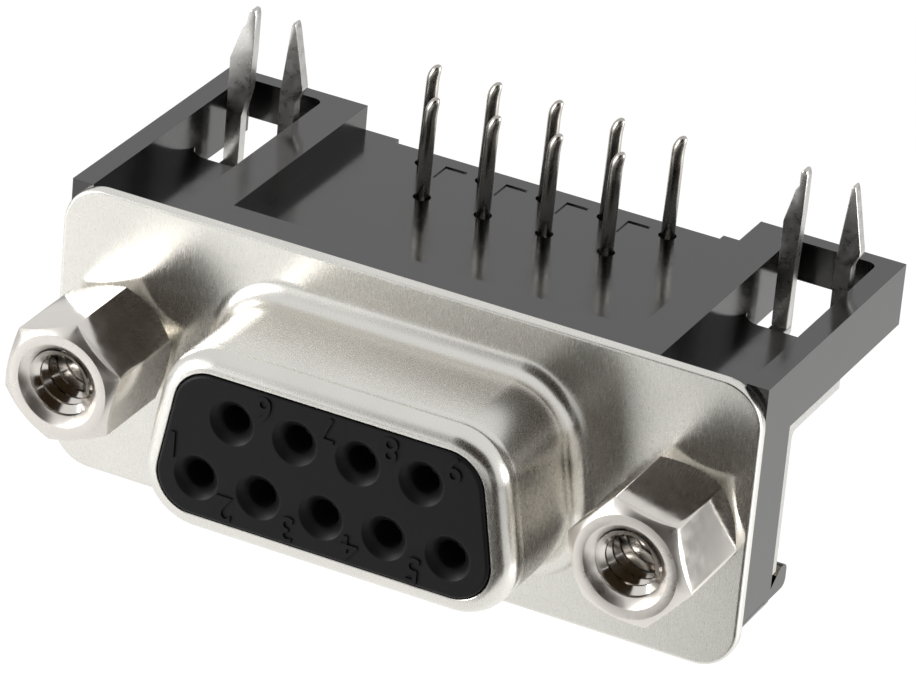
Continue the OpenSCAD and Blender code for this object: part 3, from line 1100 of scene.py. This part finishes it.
class GeometryBench(Bench):
    """Builds one geometry tree."""

    def __init__(self, name: str, inputs: dict[str, float]) -> None:
        """Starts a tree with its inputs and one geometry output.

        Args:
            name: The tree's name.
            inputs: Each input's name and first value.
        """
        super().__init__(bpy.data.node_groups.new(name, "GeometryNodeTree"))
        self.sockets: dict[str, str] = {}
        for label, value in inputs.items():
            socket = self.tree.interface.new_socket(label, in_out="INPUT", socket_type="NodeSocketFloat")
            socket.default_value = value
            self.sockets[label] = socket.identifier
        self.tree.interface.new_socket("Geometry", in_out="OUTPUT", socket_type="NodeSocketGeometry")
        self.entry = self.tree.nodes.new("NodeGroupInput")
        self.exit = self.tree.nodes.new("NodeGroupOutput")

    def value(self, label: str) -> Sock:
        """An input of the tree, wrapped."""
        return Sock(self, self.entry.outputs[label])

    def run(self, name: str, geometry: Sock, material: bpy.types.Material,
            sizes: dict[str, float]) -> bpy.types.Object:
        """Ends the tree, runs it and keeps its result as a plain mesh.

        Args:
            name: The made piece's name.
            geometry: What the tree makes.
            material: What it is made of.
            sizes: Values for the tree's inputs.

        Returns:
            The piece.
        """
        real = self.node("GeometryNodeRealizeInstances", {}, {0: geometry})
        done = self.node("GeometryNodeSetMaterial", {}, {"Geometry": real, "Material": material})
        self.tree.links.new(done.socket, self.exit.inputs[0])
        piece = added(name, bpy.data.meshes.new(name))
        modifier = piece.modifiers.new("make", "NODES")
        modifier.node_group = self.tree
        for label, value in sizes.items():
            modifier[self.sockets[label]] = value
        settle(piece)
        return piece


@dataclass
class Thread:
    """The helical ridges inside a jackscrew."""

    screw: Jackscrew
    steps_per_turn: int = 72
    rows: int = 6
    crest_flat: float = 0.2
    sunk: float = 0.01
    lead: float = 0.02
    run_out: float = 0.15

    def build(self) -> bpy.types.Object:
        """Makes the ridges in place.

        Returns:
            The mesh.
        """
        screw = self.screw
        sink = screw.countersink_r - screw.thread_r
        turns = (screw.thread_depth - sink - self.run_out) / screw.thread_pitch
        bench = GeometryBench("thread", {"Root": 1.0, "Crest": 0.8, "Pitch": 0.6, "Turns": 6.0})
        counts = {"Vertices X": int(turns * self.steps_per_turn), "Vertices Y": self.rows}
        grid = bench.node("GeometryNodeMeshGrid", {}, {"Size X": 1.0, "Size Y": 1.0, **counts}, "Mesh")
        where = bench.node("GeometryNodeInputPosition", {}, {})
        split = bench.node("ShaderNodeSeparateXYZ", {}, {0: where}, "X")
        along = (split + 0.5) * bench.value("Turns")
        across = split.beside("Y") * 2.0
        angle = along * (2 * math.pi)
        crown = across.maths("ABSOLUTE").maths("MAXIMUM", self.crest_flat)
        share = (1 - crown) * (1 / (1 - self.crest_flat))
        radius = bench.value("Root") - (bench.value("Root") - bench.value("Crest")) * share
        height = (along + across * 0.5) * bench.value("Pitch")
        round_at = {"X": radius * angle.maths("COSINE"), "Y": height, "Z": radius * angle.maths("SINE")}
        place = bench.node("ShaderNodeCombineXYZ", {}, round_at)
        wound = bench.node("GeometryNodeSetPosition", {}, {"Geometry": grid, "Position": place})
        material = screw.rack.materials[Finish.JACKSCREW]
        sizes = {"Root": (screw.thread_r + self.sunk) * MM, "Crest": screw.crest_r * MM,
                 "Pitch": screw.thread_pitch * MM, "Turns": turns}
        piece = bench.run("thread", wound, material, sizes)
        start = screw.length - sink - self.lead
        piece.data.transform(Matrix.Translation(PLAN.point(screw.side.value * PLAN.screw_x, start, 0)))
        return piece


@dataclass
class Bracket:
    """The black bracket behind the flange, with rounded edges, shallower pads and longer legs."""

    rack: FinishRack
    edge: float = 0.06
    pad_floor: float = -1.25
    pad_near: float = 0.02
    pad_rise: float = 0.09
    leg_end: float = -11.05
    leg_near: float = 0.05
    leg_extra: float = 0.35

    def build(self) -> bpy.types.Object:
        """Makes the bracket.

        Returns:
            The dressed piece.
        """
        piece = copy_of("bracket", "moulded_bracket")
        for vert in piece.data.vertices:
            if abs(vert.co.z / MM - self.pad_floor) < self.pad_near:
                vert.co.z = (self.pad_floor + self.pad_rise) * MM
            elif abs(vert.co.z / MM - self.leg_end) < self.leg_near:
                vert.co.z -= self.leg_extra * MM
        round_edges(piece, self.edge, 40.0)
        soften(piece, 35)
        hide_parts("bracket")
        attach(piece, BODY)
        return self.rack.dress(piece, Finish.BRACKET)


@dataclass
class BoardLock:
    """A forked board lock of sheet metal, with rounded edges and two hooked prongs.

    The left prong's tip is wider by spread, towards the slot.
    """

    rack: FinishRack
    side: Side
    spread: float
    edge: float = 0.09
    thickness: float = 0.5
    foot: float = 3.4

    def outer_prong(self) -> list[tuple[float, float]]:
        """Front view of the left prong: across from the screw's axis, and height over the D's axis."""
        inner = -0.7 + self.spread
        return [(-1.4, self.foot), (-0.7, self.foot), (-0.7, 5.6), (inner - 0.06, 6.8),
                (inner, 8.6), (inner, 10.2), (inner - 0.06, 10.42), (inner - 0.2, 10.45), (inner - 0.3, 10.3),
                (-0.95 + 0.5 * self.spread, 9.72), (-1.08 + 0.4 * self.spread, 9.5), (-1.4, 8.1)]

    def barbed_prong(self) -> list[tuple[float, float]]:
        """Front view of the right prong, as the left one's."""
        return [(1.0, self.foot), (1.7, self.foot), (1.7, 6.85), (1.76, 7.05), (2.0, 7.45), (2.0, 7.62),
                (1.52, 10.1), (1.44, 10.34), (1.36, 10.38), (1.3, 10.25), (1.16, 8.8), (1.0, 7.2)]

    def build(self) -> bpy.types.Object:
        """Makes the board lock.

        Returns:
            The dressed piece.
        """
        label = self.side.name.lower()
        strap = copy_of(f"board_lock_{label}", f"sheet_lock_{label}")
        cut_above(strap, PLAN.point(0, 0, self.foot))
        prongs = [self._prong(view) for view in (self.outer_prong(), self.barbed_prong())]
        piece = join([strap, *prongs], f"sheet_lock_{label}")
        round_edges(piece, self.edge, 35.0)
        soften(piece, 40)
        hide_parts(f"board_lock_{label}")
        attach(piece, BODY)
        return self.rack.dress(piece, Finish.BOARD_LOCK)

    def _prong(self, view: Sequence[tuple[float, float]]) -> bpy.types.Object:
        """A prong of sheet.

        Args:
            view: Its outline from the front.

        Returns:
            Its mesh.
        """
        shape = Shaper("prong")
        across = self.side.value * PLAN.screw_x
        faces = [out - PLAN.lock_depth for out in (self.thickness / 2, -self.thickness / 2)]
        rings = [shape.ring(PLAN.point(across + x, out, z) for x, z in view) for out in faces]
        shape.loft(rings)
        for ring in rings:
            shape.fill(ring)
        return shape.finish(30)


@dataclass
class Contact:
    """A contact whose round tail leans a little and ends in a nipped tip."""

    rack: FinishRack
    index: int
    radius: float = 0.265
    foot: float = 4.5
    top: float = 9.45
    lean: tuple[float, float] = (0.0, 0.2)
    foot_share: float = 1.12
    sides: int = 24
    # The nipped tip: height from the top, share of the radius, and step to the right
    tip: tuple[tuple[float, float, float], ...] = (
        (-0.85, 1.0, 0.0), (-0.6, 1.0, 0.01), (-0.42, 0.96, 0.04), (-0.28, 0.88, 0.08),
        (-0.16, 0.76, 0.12), (-0.07, 0.6, 0.15), (-0.015, 0.4, 0.17), (0.0, 0.15, 0.18))

    def build(self) -> bpy.types.Object:
        """Makes the contact.

        Returns:
            The dressed piece.
        """
        node = f"contact_{self.index + 1}"
        body = copy_of(node, "socket_body")
        cut_above(body, PLAN.point(0, 0, self.foot))
        piece = join([body, self._tail()], f"wire_{self.index + 1}")
        soften(piece, 40)
        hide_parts(node)
        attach(piece, BODY)
        return self.rack.dress(piece, Finish.CONTACT)

    def _tail(self) -> bpy.types.Object:
        """The round tail, from inside the tail plate to its tip.

        Returns:
            Its mesh.
        """
        shape = Shaper("tail")
        row = 1 if self.index < PLAN.long_row else -1
        root = Vector((PLAN.contact_at(self.index).x, row * PLAN.row_pitch / 2))
        rings = []
        for height, share, nip in ((self.foot - self.top, self.foot_share, 0.0), *self.tip):
            along = (height + self.top - self.foot) / (self.top - self.foot)
            middle = root + Vector(self.lean) * along + Vector((nip, 0))
            flat = circle(middle, self.radius * share, self.sides)
            rings.append(shape.ring(Vector((x, y, self.top + height - PLAN.axis_drop)) * MM for x, y in flat))
        shape.loft(rings)
        shape.fill(rings[0])
        shape.fill(rings[-1])
        return shape.finish(40)


# ---------------------------------------------------------------- assembly


def finish_of(node: str) -> Finish:
    """The finish of a solid, whose name holds the finish's."""
    return next(finish for finish in Finish if finish.value in node)


def main() -> None:
    """Builds and dresses the connector."""
    logging.basicConfig(level=logging.INFO)
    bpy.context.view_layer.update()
    rack = FinishRack()
    for name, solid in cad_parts.items():
        rack.dress(solid, finish_of(name))
    pieces = [
        FaceShell(rack),
        FrontInsulator(rack),
        Bracket(rack),
        Jackscrew(rack, Side.LEFT, 20.0),
        Jackscrew(rack, Side.RIGHT, -11.0),
        BoardLock(rack, Side.LEFT, 0.33),
        BoardLock(rack, Side.RIGHT, 0.1),
        *(Contact(rack, index) for index in range(PLAN.contacts)),
    ]
    for maker in pieces:
        piece = maker.build()
        LOG.info("%s: %d faces", piece.name, len(piece.data.polygons))
    Viewpoint().build(PLAN.point(0, 0, 0))
    Studio().build()


if __name__ == "__main__":
    main()
